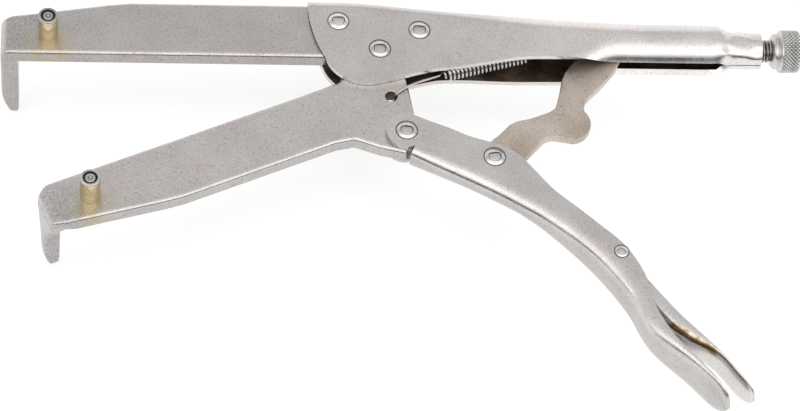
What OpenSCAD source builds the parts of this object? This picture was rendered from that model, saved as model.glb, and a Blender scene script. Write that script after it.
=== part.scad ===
// Locking pliers with two long hooked arms and a stud pin on each arm.
// The pliers lie flat: X runs along the fixed handle towards the adjusting
// screw, Z points out of the plier plane on the side of the two stud pins.
// The origin is where the upper stud pin meets the front face of its arm.
// All lengths are millimetres.

/* [Arms] */
// Thickness of both arms
arm_t = 7; // [5:0.5:10]
// Distance from a stud pin to the outer face of its hook
pin_to_hook = 19.5; // [17:0.5:26]
// Depth from the front face of an arm to the tip of its hook
hook_depth = 44; // [30:1:60]
// Width of the upper hook at its tip
hook_tip_w = 8.5; // [7:0.5:14]
// Outer radius of the bend between an arm and its hook
bend_r = 5; // [3:0.5:6]
// Width of the upper arm from its pin to its inner edge
upper_inner = 9.5; // [8:0.5:12]
// Width of the upper arm from its pin to its outer edge
upper_outer = 17.2; // [14:0.5:18]
// Width of the lower arm from its pin to its inner edge
lower_inner = 12; // [10:0.5:13]
// Width of the lower arm from its pin to its outer edge
lower_outer = 15; // [14:0.5:16]
// Angle that the lower arm stands open at rest, in degrees
open_angle = 23.4; // [23:0.1:25]
// Side clearance of each face of the lower arm between the handle cheeks
side_gap = 0.15; // [0.1:0.05:0.3]

/* [Stud pins] */
// Outer diameter of a pin sleeve
sleeve_d = 8.2; // [6:0.1:10]
// Length of a pin sleeve
sleeve_l = 13; // [8:0.5:20]
// Diameter of a pin stud
stud_d = 5.5; // [4:0.1:5.5]
// Diameter of the turned nose at the end of a stud
stud_nose_d = 4; // [2:0.1:4]

/* [Handles] */
// Thickness of the sheet steel
sheet_t = 2.2; // [1.5:0.1:2.5]
// Outer radius of the round end of the fixed handle
tube_r = 10.5; // [9:0.1:10.5]
// Outer radius of the neck that holds the screw
neck_r = 7.7; // [7:0.1:8.5]
// Angle from the bottom of the tube to either lip of its slot, in degrees
slot_half = 23; // [10:1:40]
// Outer half width of the lever handle at its rear
lever_w = 10; // [9:0.5:10]
// Outer half width of the release lever
release_w = 7.4; // [6:0.1:7.5]
// Sheet thickness of the release lever
release_t = 1.8; // [1.2:0.1:2]

/* [Screw] */
// Major diameter of the adjusting screw
screw_d = 9.9; // [8:0.1:9.9]
// Diameter of the knurled knob
knob_d = 18; // [14:0.5:22]
// Gap between the toggle link and the end of the screw
link_gap = 4.2; // [4:0.1:6]

/* [Fasteners and spring] */
// Diameter of the shanks of the large rivets
rivet_d = 5.6; // [4:0.1:6]
// Diameter of the heads of the large rivets
rivet_head_d = 8.8; // [8:0.1:10]
// Height of the heads of the large rivets
rivet_head_h = 1.7; // [1:0.1:2]
// Radial running clearance of a pivot
pivot_gap = 0.06; // [0.02:0.01:0.1]
// Thickness of the toggle link
link_t = 4; // [3:0.1:5]
// Outer diameter of the return spring
spring_d = 6; // [5:0.5:6]
// Wire diameter of the return spring
wire_d = 0.9; // [0.6:0.1:1.2]

/* [Hidden] */
$fn = 64;
eps = 0.01;
z_mid = -arm_t / 2;
front_z = sheet_t;
back_z = -arm_t - sheet_t;
lower_t = arm_t - 2 * side_gap;
pivot_r = rivet_d / 2;
hole_r = pivot_r + pivot_gap;
spacer_t = (arm_t - link_t) / 2 - 0.1;

// Inset of a formed shell where it runs into a plain one, so that the two
// join over a whole section
joint_step = 0.1;
shell_r = tube_r - 1.5 * joint_step;

// Longer than either arm
arm_reach = 200;

// Places of the pivots and rivets in the plier plane
jaw_pivot = [136.1, -6.5];
lever_pivot = [145.4, -47.1];
link_pivot = [180.6, -59.6];
link_end = [233.5, -2.5];
release_pivot = [227.9, -107];
front_rivet = [119.4, 7.3];
rear_rivet = [153, 3.3];
lower_pin = [17.9, -78.6];
spring_hole = [140.1, -28.8];
spring_post = [205, -3.4];
spring_hole_r = 2.5;
spring_post_r = 1.5;
release_shank_r = 1.5;
screw_y = -1;

// Lengths along the fixed handle
front_x = 107;
cheek_end_x = 160;
curl_from = 210;
curl_to = 236;
tube_x = 246;
shoulder_x = 278;
neck_x = 285;
handle_end_x = 297;
knob_x = 301.5;
link_end_r = 5.5;
spigot_r = 3.5;
top_flat = 0.4;
screw_x = link_end.x + link_end_r + link_gap;

// ---- Helpers -----------------------------------------------------------

// Points on an arc about a centre, from angle a0 to a1
function arc(c, r, a0, a1, n = 12) =
    [for (i = [0:n]) let (a = a0 + (a1 - a0) * i / n) c + r * [cos(a), sin(a)]];

// One point of a smooth curve through p1 and p2, with neighbours p0 and p3
function curve_point(p0, p1, p2, p3, t) =
    (2 * p1 + (p2 - p0) * t + (2 * p0 - 5 * p1 + 4 * p2 - p3) * t * t
    + (3 * p1 - p0 - 3 * p2 + p3) * t * t * t) / 2;

// Smooth curve through a list of points, with n steps between neighbours
function smooth(p, n = 4) =
    let (last = len(p) - 1)
    concat(
        [for (i = [0:last - 1], k = [0:n - 1])
            curve_point(p[max(i - 1, 0)], p[i], p[i + 1], p[min(i + 2, last)], k / n)],
        [p[last]]);

function reverse(p) = [for (i = [len(p) - 1:-1:0]) p[i]];
function unit(v) = v / norm(v);
function mix(a, b, t) = a + (b - a) * t;
function ease(t) = t * t * (3 - 2 * t);

// Solid through closed rings. Each ring runs along the outside of a bent
// sheet and back along its inside, so that the end caps split into quads.
module loft(rings) {
    n = len(rings[0]);
    m = len(rings);
    sides = [for (k = [0:m - 2], i = [0:n - 1])
        [k * n + i, k * n + (i + 1) % n, (k + 1) * n + (i + 1) % n, (k + 1) * n + i]];
    near = [for (i = [0:n / 2 - 2]) [n - 1 - i, n - 2 - i, i + 1, i]];
    far = [for (f = near) [for (v = reverse(f)) v + (m - 1) * n]];
    polyhedron([for (r = rings) each r], concat(sides, near, far), convexity = 8);
}

// Plate in the plier plane between two heights
module plate(points, z0, z1) {
    translate([0, 0, z0]) linear_extrude(z1 - z0, convexity = 6) polygon(points);
}

// Round bar along Z at a place in the plier plane
module post(place, r, z0, z1) {
    translate([place.x, place.y, z0]) cylinder(r = r, h = z1 - z0);
}

// Round bar along X on the axis of the adjusting screw
module bar(r0, r1, x0, x1) {
    translate([x0, screw_y, z_mid]) rotate([0, 90, 0]) cylinder(r1 = r0, r2 = r1, h = x1 - x0);
}

// Domed rivet head: a spherical cap that stands on height z
module dome(r, h, z, up) {
    ball = (r * r + h * h) / (2 * h);
    translate([0, 0, z]) mirror([0, 0, up ? 0 : 1]) intersection() {
        translate([0, 0, h - ball]) sphere(ball);
        cylinder(r = r, h = h);
    }
}

// Rivet through sheets that end at z0 and z1
module rivet(place, shank_r, head_r, head_h, z0, z1) {
    translate([place.x, place.y, 0]) {
        translate([0, 0, z0]) cylinder(r = shank_r, h = z1 - z0);
        dome(head_r, head_h, z1, true);
        dome(head_r, head_h, z0, false);
    }
}

// ---- Arms --------------------------------------------------------------

// Side view of an arm of thickness t in X and Z: straight bar, bend and
// tapered hook
function arm_side(t) = concat(
    [[arm_reach, -t], [arm_reach, 0], [bend_r - pin_to_hook, 0]],
    arc([bend_r - pin_to_hook, -bend_r], bend_r, 90, 180, 8),
    [[-pin_to_hook, -hook_depth * 0.78],
     [-pin_to_hook + t * 0.35, -hook_depth + 1],
     [-pin_to_hook + t * 0.5, -hook_depth],
     [-pin_to_hook + t - 0.8, -hook_depth],
     [-pin_to_hook + t, -hook_depth + 0.8]],
    arc([-pin_to_hook + t + 1.5, -t - 1.5], 1.5, 180, 90, 4));

// Hooked arm of thickness t about its stud pin, with its outer edge on +Y.
// The body is the front view from the inner corner at the hook, round the root
// to the outer edge. The hook is the end view below the bar, from its inner
// edge to its outer edge.
module arm_blank(outer, t, body, hook) {
    taper_x = 34;
    bar_z = -t - 1.5;
    front_view = concat(
        body,
        [[taper_x, outer], [taper_x - 9, outer - 1], [-pin_to_hook, outer * 0.52]]);
    end_view = concat(
        [[-arm_reach, 1], [-arm_reach, bar_z]],
        hook,
        [[arm_reach, bar_z], [arm_reach, 1]]);
    intersection() {
        translate([0, arm_reach, 0]) rotate([90, 0, 0])
            linear_extrude(2 * arm_reach, convexity = 4) polygon(arm_side(t));
        plate(front_view, -hook_depth - 1, 1);
        translate([-pin_to_hook - 1, 0, 0]) rotate([90, 0, 90])
            linear_extrude(arm_reach + pin_to_hook, convexity = 4) polygon(end_view);
    }
}

// A place in the plier plane, seen in the frame of the lower arm
function in_lower_arm(p) =
    let (d = p - lower_pin)
    [d.x * cos(open_angle) + d.y * sin(open_angle),
     d.x * sin(open_angle) - d.y * cos(open_angle)];

// Place the children in the frame of the lower arm
module lower_arm_frame() {
    translate([lower_pin.x, lower_pin.y, -side_gap])
        rotate(open_angle) mirror([0, 1, 0]) children();
}

module upper_jaw() {
    hub_gap_r = 11;
    bar_z = -arm_t - 1.5;
    tip_y = hook_tip_w - upper_inner;
    body = concat(
        [[-pin_to_hook, -upper_inner], [117, -upper_inner]],
        arc(jaw_pivot, hub_gap_r, 134, 45, 14),
        [[148, -3], [159, -3], [162, 0], [162, 11.5], [127, upper_outer - 0.3],
         [100, upper_outer]]);
    hook = [
        [-upper_inner - 1, bar_z], [-upper_inner - 1, bar_z - 1], [-upper_inner, bar_z - 1],
        [-upper_inner, 1.5 - hook_depth], [1.2 - upper_inner, -hook_depth],
        [tip_y - 4, -hook_depth], [tip_y - 0.8, 2.4 - hook_depth],
        [tip_y + 1.4, 9 - hook_depth], [upper_outer * 0.52, bar_z]];
    color("lightgray") difference() {
        arm_blank(upper_outer, arm_t, body, hook);
        post([0, 0], stud_d / 2, -arm_t - 1, 1);
        for (p = [front_rivet, rear_rivet]) post(p, pivot_r, -arm_t - 1, 1);
    }
}

module lower_jaw() {
    hub_r = 10.5;
    lobe_r = 8.4;
    hub = concat(
        [[119, -21.5]],
        arc(jaw_pivot, hub_r, 150, -12, 16),
        [[147.4, -23], [149.3, -36]],
        arc(lever_pivot, lobe_r, 66, -84, 24),
        [[145, -56.7], [134.3, -54.1], [124.5, -50.4]]);
    body = concat(
        [[-pin_to_hook, -8.7], [2 - pin_to_hook, -10.5], [4.8 - pin_to_hook, -11.7],
         [7.5 - pin_to_hook, -lower_inner], [96, -lower_inner]],
        [for (p = hub) in_lower_arm(p)],
        [[101, lower_outer]]);
    hook = [
        [-8, -lower_t - 1.5], [-6.4, -20], [-5.5, -31], [-4.9, 3 - hook_depth],
        [-3.6, -hook_depth], [-2.2, -hook_depth], [-1.2, 1.2 - hook_depth],
        [-0.6, 6 - hook_depth], [0, -28], [0.4, -20], [1.6, -17], [4, -13],
        [7.4, -lower_t - 1.5]];
    color("lightgray") difference() {
        lower_arm_frame() arm_blank(lower_outer, lower_t, body, hook);
        post(jaw_pivot, hole_r, -arm_t - 1, 1);
        post(lever_pivot, hole_r, -arm_t - 1, 1);
        post(spring_hole, spring_hole_r, -arm_t - 1, 1);
        lower_arm_frame() post([0, 0], stud_d / 2, -arm_t - 1, 1);
    }
}

// ---- Stud pins ---------------------------------------------------------

// Stud through an arm of thickness t, with a turned and centre-drilled nose
module pin_stud(t) {
    nose_l = 1.2;
    stud_top = sleeve_l - 0.3;
    difference() {
        union() {
            post([0, 0], stud_d / 2, -t, stud_top - nose_l);
            post([0, 0], stud_nose_d / 2, stud_top - nose_l, stud_top);
        }
        translate([0, 0, stud_top - 0.4]) cylinder(r1 = 0.1, r2 = 0.6, h = 0.5);
    }
}

module pin_sleeve() {
    chamfer = 0.4;
    rotate_extrude() polygon([
        [stud_d / 2, 0], [sleeve_d / 2, 0], [sleeve_d / 2, sleeve_l - chamfer],
        [sleeve_d / 2 - chamfer, sleeve_l], [stud_d / 2, sleeve_l]]);
}

module upper_pin_stud() color("silver") pin_stud(arm_t);
module upper_pin_sleeve() color("goldenrod") pin_sleeve();
module lower_pin_stud() color("silver") lower_arm_frame() pin_stud(lower_t);
module lower_pin_sleeve() color("goldenrod") lower_arm_frame() pin_sleeve();

// ---- Fixed handle ------------------------------------------------------

// How far the channel has turned into the tube, from 0 to 1, at length x
function tube_part(x) = ease(min(max((x - curl_from) / (curl_to - curl_from), 0), 1));
function half_width(x) =
    mix(arm_t / 2 + sheet_t, shell_r, ease(min((x - cheek_end_x) / (200 - cheek_end_x), 1)));
function top_y(x) =
    x < 200 ? mix(15.9, 11.4, (x - cheek_end_x) / 40)
            : mix(11.4, screw_y + shell_r, ease(min((x - 200) / (tube_x - 200), 1)));
function lip_y(x) = x < 196 ? mix(-16.1, -12.7, (x - cheek_end_x) / 36) : -12.7;

// Half of a channel section, from its front lip to the middle of its top,
// as [y, z] points measured from the middle plane
function half_section(w, top, curl_y, curl, corner) = concat(
    [for (a = [curl:-curl / 6:-eps]) [curl_y - w * sin(a), w * cos(a)]],
    [for (b = [0:15:90]) [top - corner * (1 - sin(b)), w - corner * (1 - cos(b))]]);

function handle_ring(x, inset) =
    let (
        t = tube_part(x),
        w = half_width(x) - inset,
        top = top_y(x) - inset,
        corner = mix(2.8, shell_r - top_flat / 2, t) - inset,
        curl = mix(5, 90 - slot_half, t),
        curl_y = mix(lip_y(x) + half_width(x) * sin(5), screw_y, t),
        half = half_section(w, top, curl_y, curl, corner))
    concat(
        [for (p = half) [x, p.x, z_mid + p.y]],
        [for (p = reverse(half)) [x, p.x, z_mid - p.y]]);

module handle_cheeks() {
    outline = concat(
        [[cheek_end_x, 15.9], [145, 17.3], [127, 19.4], [front_x, 19.4],
         [front_x, 13], [108.5, 2]],
        arc([130.5, -5.5], 18.2, 195, 285, 14),
        [[152, -18.1], [cheek_end_x, -16.1]]);
    pocket = [
        [cheek_end_x + 1, 15.8 - sheet_t], [145, 17.3 - sheet_t], [127, 19.4 - sheet_t],
        [front_x - 1, 19.4 - sheet_t], [front_x - 1, -30], [cheek_end_x + 1, -30]];
    difference() {
        plate(outline, back_z, front_z);
        plate(pocket, -arm_t, 0);
    }
}

module handle_end() {
    inner_r = shell_r - sheet_t - joint_step;
    slot_w = 2 * (inner_r * sin(slot_half) - joint_step);
    slot_h = 2 * tube_r;
    difference() {
        union() {
            bar(tube_r, tube_r, tube_x + 0.5, shoulder_x);
            bar(tube_r, neck_r, shoulder_x, neck_x);
            bar(neck_r, neck_r, neck_x, handle_end_x);
        }
        bar(inner_r, inner_r, tube_x, shoulder_x);
        bar(inner_r, screw_d / 2 + pivot_gap, shoulder_x, neck_x);
        bar(screw_d / 2 + pivot_gap, screw_d / 2 + pivot_gap, neck_x - 1, handle_end_x + 1);
        translate([tube_x, screw_y - slot_h, z_mid - slot_w / 2])
            cube([shoulder_x + 1 - tube_x, slot_h, slot_w]);
    }
}

module fixed_handle() {
    xs = concat([for (x = [cheek_end_x:6:tube_x - 1]) x], [tube_x, tube_x + 1]);
    post_foot = z_mid - half_width(spring_post.x) + sheet_t;
    color("gainsboro") difference() {
        union() {
            handle_cheeks();
            loft([for (x = xs) concat(handle_ring(x, 0), reverse(handle_ring(x, sheet_t)))]);
            handle_end();
            post(spring_post, spring_post_r, post_foot - 1, z_mid + spring_d / 2 - 0.5);
        }
        for (p = [front_rivet, rear_rivet, jaw_pivot]) post(p, pivot_r, back_z - 1, front_z + 1);
    }
}

// ---- Lever handle and release lever ------------------------------------

// A bent sheet channel along a path. Each station is
// [back x, back y, edge x, edge y, outer half width]: the back is the outside
// of its web, and the edge is the top of its flanges.
function channel_ring(s, t) =
    let (
        back = [s[0], s[1]],
        edge = [s[2], s[3]],
        up = unit(edge - back),
        rise = max(norm(edge - back), t + 0.02),
        w = s[4],
        corner = min(t + 0.8, rise - eps),
        outer = concat(
            [[rise, w]],
            [for (b = [0:22.5:90]) [corner * (1 - sin(b)), w - corner * (1 - cos(b))]]),
        in_c = max(corner - t, 0.01),
        inner = concat(
            [[rise, w - t]],
            [for (b = [0:22.5:90]) [t + in_c * (1 - sin(b)), w - t - in_c * (1 - cos(b))]]),
        outer_all = concat(outer, [for (p = reverse(outer)) [p.x, -p.y]]),
        inner_all = concat(inner, [for (p = reverse(inner)) [p.x, -p.y]]))
    [for (p = concat(outer_all, reverse(inner_all)))
        [back.x + up.x * p.x, back.y + up.y * p.x, z_mid - p.y]];

// Block that leaves a channel's tail round: the last length, less a disc of
// radius r whose axis runs along the sheet's normal
module tail_cut(tip, angle, r) {
    translate([tip.x, tip.y, z_mid]) rotate([0, 0, angle]) difference() {
        translate([-r, -20, -r - 5]) cube([r + 20, 40, 2 * r + 10]);
        translate([-r, 0, 0]) rotate([90, 0, 0]) cylinder(r = r, h = 60, center = true);
    }
}

lever_top = [
    [155, -42.5], [163, -45.8], [171, -49.7], [179.4, -52.5],
    [184.5, -54.5], [191, -58.8]];
lever_bottom = [[186, -79.7], [174, -72.6], [162, -66.3], [147.2, -58.4]];

lever_stations = [
    [185.2, -79, 190.1, -58.6, 5.6],
    [190.5, -82.7, 196.3, -65.8, 5.9],
    [197.5, -88, 203.6, -76, 6.8],
    [205, -94.8, 213, -85.8, 8],
    [212.5, -102.2, 220.5, -94, 9.1],
    [220, -111, 228.5, -102.6, 9.8],
    [227, -121.3, 234, -111.7, lever_w],
    [231.3, -129, 237.4, -121, lever_w],
    [234.5, -137.3, 240, -131.5, lever_w],
    [238, -144, 244, -140.6, lever_w],
    [243.8, -150.3, 248.4, -147.3, lever_w],
    [250.5, -156.8, 254.2, -154.3, lever_w],
    [257, -164, 259.6, -162.2, lever_w],
    [265, -174, 266.8, -172.6, lever_w]];

release_stations = [
    [214.9, -99.4, 219, -95.2, release_w - 1],
    [222.4, -108.2, 228, -103.4, release_w - 0.2],
    [229.8, -119.1, 233.8, -112.8, release_w],
    [234.8, -126.4, 238.4, -119.2, release_w],
    [239.9, -132.5, 243.5, -126.5, release_w],
    [245.9, -139.3, 249.5, -134.5, release_w],
    [253.1, -145.6, 256.2, -142.2, release_w],
    [259.3, -150.3, 261.6, -148.4, release_w],
    [263.6, -154.6, 265.3, -153.2, release_w],
    [268.6, -161.6, 270.1, -160.5, release_w],
    [275, -170, 276.5, -168.9, release_w]];

module lever_handle() {
    ear_r = 8.6;
    cheek = concat(arc(lever_pivot, ear_r, 240, 60, 20), lever_top, lever_bottom);
    web_t = sheet_t + 2 * joint_step;
    web_end = lever_bottom[0] + web_t * unit(lever_top[len(lever_top) - 1] - lever_bottom[0]);
    web_run = [lever_bottom[1], lever_bottom[2], lever_bottom[3]];
    web = concat(
        [web_end],
        [for (p = web_run) p + [0, web_t]],
        reverse(web_run),
        [lever_bottom[0]]);
    color("gainsboro") difference() {
        union() {
            plate(cheek, 0, front_z);
            plate(cheek, back_z, -arm_t);
            plate(web, back_z, front_z);
            loft([for (s = smooth(lever_stations, 3)) channel_ring(s, sheet_t - 2 * joint_step)]);
        }
        tail_cut([265, -173.2], -51, lever_w);
        post(lever_pivot, pivot_r, back_z - 1, front_z + 1);
        post(link_pivot, pivot_r, back_z - 1, front_z + 1);
        post(release_pivot, release_shank_r, z_mid - lever_w - 1, z_mid + lever_w + 1);
    }
}

module release_lever() {
    color("silver") difference() {
        loft([for (s = smooth(release_stations, 3)) channel_ring(s, release_t)]);
        tail_cut([275, -169.4], -52.5, release_w);
        post(release_pivot, release_shank_r + pivot_gap, z_mid - lever_w, z_mid + lever_w);
    }
}

// ---- Toggle link -------------------------------------------------------

module toggle_link() {
    ear_r = 8;
    link_front_z = z_mid + link_t / 2;
    outline = concat(
        arc(link_pivot, ear_r, 310, 138, 24),
        [[184, -46], [188.4, -41.2], [191.5, -39.4]],
        [[196.9, -38.1], [201.1, -36.5], [205.4, -34.6], [207.8, -32.8]],
        [[208.9, -29.6], [210.3, -24.6], [211.6, -18.5], [213.2, -14.5]],
        [[216, -10.8], [221.5, -4.5], [227, 0.2]],
        arc(link_end, link_end_r, 100, -30, 10),
        [[234.3, -13.1], [227.3, -21.8], [223.4, -25.8], [220.9, -28.6], [220.1, -31]],
        arc([213.6, -39.8], 8.5, 44, -84, 18),
        [[209.2, -47.3], [205.4, -46.8], [202.6, -47.9], [194.8, -56.6]]);
    color("tan") difference() {
        plate(outline, link_front_z - link_t, link_front_z);
        post(link_pivot, hole_r, -arm_t - 1, 1);
    }
}

module spacer(z0, z1) {
    spacer_r = 5.2;
    color("silver") difference() {
        post(link_pivot, spacer_r, z0, z1);
        post(link_pivot, pivot_r, z0 - 1, z1 + 1);
    }
}

module link_spacer_front() spacer(-spacer_t, 0);
module link_spacer_rear() spacer(-arm_t, spacer_t - arm_t);

// ---- Rivets ------------------------------------------------------------

module large_rivet(place) {
    color("silver") rivet(place, pivot_r, rivet_head_d / 2, rivet_head_h, back_z, front_z);
}

module front_jaw_rivet() large_rivet(front_rivet);
module rear_jaw_rivet() large_rivet(rear_rivet);
module jaw_pivot_rivet() large_rivet(jaw_pivot);
module lever_pivot_rivet() large_rivet(lever_pivot);
module link_rivet() large_rivet(link_pivot);

module release_rivet() {
    color("silver") rivet(release_pivot, release_shank_r, 2.9, 0.9, z_mid - lever_w, z_mid + lever_w);
}

// ---- Return spring -----------------------------------------------------

// Bar of round wire between two points
module wire(a, b, r) {
    d = b - a;
    translate(a) rotate([0, acos(d.z / norm(d)), atan2(d.y, d.x)]) cylinder(r = r, h = norm(d));
}

// Coil with a hook that runs in front of the lower jaw and down its hole, and
// a hook that reaches the post in the fixed handle. The leg in the hole and
// the knee of the front hook are a little thicker than the wire that they join.
module return_spring() {
    coil_start = [163, -15, z_mid];
    coil_end = [197.5, -5.2, z_mid];
    coil = coil_end - coil_start;
    hook_z = 0.6;
    leg_r = wire_d / 2 + 0.1;
    hook = [spring_hole.x + 1.3, spring_hole.y + 0.7, hook_z];
    knee = [150, -22.9, hook_z];
    color("gray") union() {
        post(hook, leg_r, z_mid - 1, hook_z + leg_r);
        wire(hook, knee, wire_d / 2);
        post(knee, leg_r, hook_z - 2 * leg_r, hook_z + leg_r);
        wire(knee, coil_start + unit(coil), wire_d / 2);
        wire(coil_start, coil_end, spring_d / 2);
        wire(coil_end - unit(coil), [spring_post.x - 1.4, spring_post.y - 0.5, z_mid], wire_d / 2);
    }
}

// ---- Adjusting screw ---------------------------------------------------

module adjusting_screw() {
    chamfer = 1;
    color("silver") union() {
        bar(screw_d / 2 - chamfer, screw_d / 2, screw_x, screw_x + chamfer);
        bar(screw_d / 2, screw_d / 2, screw_x + chamfer, knob_x);
        bar(spigot_r, spigot_r, knob_x, knob_x + 9);
    }
}

module screw_knob() {
    knob_r = knob_d / 2;
    bore_r = spigot_r + pivot_gap;
    profile = [
        [bore_r, 0.1], [5.2, 0.1], [6.9, 0.9], [7.8, 2.4], [7.8, 3], [7.2, 3.6], [7.6, 4.2],
        [knob_r - 0.8, 4.6], [knob_r, 5.6], [knob_r, 10.6], [knob_r - 0.9, 11.9],
        [knob_r - 2.4, 12.8], [0, 13], [0, 9.3], [bore_r, 9.3]];
    color("silver") translate([knob_x, screw_y, z_mid]) rotate([0, 90, 0])
        rotate_extrude() polygon(profile);
}

// ---- Nodes -------------------------------------------------------------

fixed_handle();
upper_jaw();
upper_pin_stud();
upper_pin_sleeve();
front_jaw_rivet();
rear_jaw_rivet();
jaw_pivot_rivet();
return_spring();
lower_jaw();
lower_pin_stud();
lower_pin_sleeve();
lever_handle();
lever_pivot_rivet();
link_rivet();
link_spacer_front();
link_spacer_rear();
release_rivet();
toggle_link();
release_lever();
adjusting_screw();
screw_knob();
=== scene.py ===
"""Looks of the locking pliers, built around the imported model.

Shapes are worked out in millimetres in the frame of the pliers and scaled to
metres when a mesh is made. X runs along the fixed handle, Z points out of the
plier plane on the side of the stud pins.
"""

from math import asin, atan2, ceil, cos, hypot, pi, radians, sin, sqrt

import bmesh
import bpy
from mathutils import Matrix, Vector, geometry, noise


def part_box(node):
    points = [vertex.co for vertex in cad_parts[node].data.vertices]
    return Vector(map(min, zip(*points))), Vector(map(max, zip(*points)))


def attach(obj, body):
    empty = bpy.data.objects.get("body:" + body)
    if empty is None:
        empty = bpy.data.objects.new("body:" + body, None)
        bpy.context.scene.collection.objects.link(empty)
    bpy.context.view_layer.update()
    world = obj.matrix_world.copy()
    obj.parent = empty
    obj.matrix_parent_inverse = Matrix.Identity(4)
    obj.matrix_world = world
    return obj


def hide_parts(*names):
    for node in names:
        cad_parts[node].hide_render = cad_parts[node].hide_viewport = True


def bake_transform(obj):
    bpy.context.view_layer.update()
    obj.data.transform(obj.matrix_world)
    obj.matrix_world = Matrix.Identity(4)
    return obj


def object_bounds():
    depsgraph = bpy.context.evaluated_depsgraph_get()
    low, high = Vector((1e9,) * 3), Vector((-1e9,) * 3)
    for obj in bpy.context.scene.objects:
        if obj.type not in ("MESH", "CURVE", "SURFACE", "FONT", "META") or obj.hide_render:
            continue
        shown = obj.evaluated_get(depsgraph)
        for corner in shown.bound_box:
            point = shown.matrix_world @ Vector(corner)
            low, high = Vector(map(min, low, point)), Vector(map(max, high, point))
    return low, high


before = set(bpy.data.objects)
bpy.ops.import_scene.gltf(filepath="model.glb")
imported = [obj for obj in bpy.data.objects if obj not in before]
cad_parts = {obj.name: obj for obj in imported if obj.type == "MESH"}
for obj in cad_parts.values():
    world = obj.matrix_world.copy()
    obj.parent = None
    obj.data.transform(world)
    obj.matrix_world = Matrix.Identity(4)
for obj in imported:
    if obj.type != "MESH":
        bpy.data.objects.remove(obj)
CAD_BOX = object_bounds()

MM = 0.001

HANDLE = "handle_body"
JAW = "lower_jaw_body"
LEVER = "lever_body"
LINK = "link_body"
RELEASE = "release_body"
SCREW = "screw_body"
KNOB = "knob_body"


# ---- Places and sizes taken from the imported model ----


def box_mm(node):
    """Lowest and highest corner of a CAD node, in millimetres."""
    low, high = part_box(node)
    return low / MM, high / MM


def centre_mm(node):
    low, high = box_mm(node)
    return (low + high) / 2


def half_height_mm(node):
    """Half the height of a CAD node, the radius of one that is turned about X."""
    low, high = box_mm(node)
    return (high.z - low.z) / 2


Z_MID = centre_mm("front_jaw_rivet").z
ARM_T = -2 * Z_MID
SHEET_T = 2.2
LOWER_FRONT_Z = box_mm("lower_jaw")[1].z
SIDE_GAP = -LOWER_FRONT_Z
SCREW_Y = centre_mm("screw_knob").y
# The painted sheen on the fixed handle fades in between these two places along X.
SHEEN_START_X = 162
SHEEN_FULL_X = 202
LEVER_PIVOT = centre_mm("lever_pivot_rivet")
LOWER_PIN = centre_mm("lower_pin_sleeve")
OPEN_ANGLE = radians(23.4)
KNOB_R = half_height_mm("screw_knob")
KNURL_DEPTH = 0.55
THREAD_R = half_height_mm("adjusting_screw")
THREAD_DEPTH = 0.85


# ---- Small geometry helpers ----


def mix(a, b, t):
    return a + (b - a) * t


def clamp(t):
    return min(max(t, 0.0), 1.0)


def ease(t):
    t = clamp(t)
    return t * t * (3 - 2 * t)


def arc(centre, radius, start, end, steps):
    """Points on an arc in the plier plane, between two angles in degrees."""
    angles = [radians(mix(start, end, i / steps)) for i in range(steps + 1)]
    return [(centre[0] + radius * cos(a), centre[1] + radius * sin(a)) for a in angles]


def curve_value(p0, p1, p2, p3, t):
    """One value of a smooth curve from p1 to p2."""
    return (
        2 * p1
        + (p2 - p0) * t
        + (2 * p0 - 5 * p1 + 4 * p2 - p3) * t**2
        + (3 * p1 - p0 - 3 * p2 + p3) * t**3
    ) / 2


def smooth_rows(rows, steps):
    """A smooth run through rows of numbers, with steps between neighbours."""
    last = len(rows) - 1
    result = []
    for i in range(last):
        around = [rows[max(i - 1, 0)], rows[i], rows[i + 1], rows[min(i + 2, last)]]
        for k in range(steps):
            result.append(tuple(curve_value(*values, k / steps) for values in zip(*around)))
    return result + [tuple(rows[last])]


def resample(points, spacing):
    """The polyline again, with points about spacing apart."""
    result = []
    for a, b in zip(points, points[1:]):
        parts = max(1, ceil(hypot(b[0] - a[0], b[1] - a[1]) / spacing))
        result += [(mix(a[0], b[0], k / parts), mix(a[1], b[1], k / parts)) for k in range(parts)]
    return result + [tuple(points[-1])]


def value_at(x, knots):
    """Smooth value at x through a list of (x, value) knots."""
    if x <= knots[0][0]:
        return knots[0][1]
    for i in range(len(knots) - 1):
        (xa, a), (xb, b) = knots[i], knots[i + 1]
        if x <= xb:
            before = knots[max(i - 1, 0)]
            after = knots[min(i + 2, len(knots) - 1)]
            width = xb - xa
            slope_a = (b - before[1]) / (xb - before[0])
            slope_b = (after[1] - a) / (after[0] - xa)
            t = (x - xa) / width
            return (
                a * (2 * t**3 - 3 * t**2 + 1)
                + b * (3 * t**2 - 2 * t**3)
                + slope_a * width * (t**3 - 2 * t**2 + t)
                + slope_b * width * (t**3 - t**2)
            )
    return knots[-1][1]


# ---- Making pieces ----


def add_object(name, data):
    added = bpy.data.objects.new(name, data)
    bpy.context.scene.collection.objects.link(added)
    return added


def new_object(name, bm):
    mesh = bpy.data.meshes.new(name)
    bmesh.ops.remove_doubles(bm, verts=bm.verts, dist=1e-4)
    for v in bm.verts:
        v.co *= MM
    for f in bm.faces:
        f.smooth = True
    bm.to_mesh(mesh)
    bm.free()
    return add_object(name, mesh)


def closed_object(name, verts, faces):
    """Piece from points in millimetres that enclose a solid."""
    bm = bmesh.new()
    made = [bm.verts.new(v) for v in verts]
    for f in faces:
        bm.faces.new([made[i] for i in f])
    bmesh.ops.remove_doubles(bm, verts=bm.verts, dist=1e-4)
    bmesh.ops.recalc_face_normals(bm, faces=bm.faces)
    return new_object(name, bm)


def paint(piece, centre, index, wanted):
    """Give a material to the faces that are wanted by their place around a centre."""
    for f in piece.data.polygons:
        if wanted(f.center / MM - Vector((centre[0], centre[1], 0))):
            f.material_index = index


def even_normals(piece):
    """Keep flat faces flat where they run into a rounded edge."""
    modifier = piece.modifiers.new("even_normals", "WEIGHTED_NORMAL")
    modifier.weight = 80
    modifier.keep_sharp = True


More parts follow.
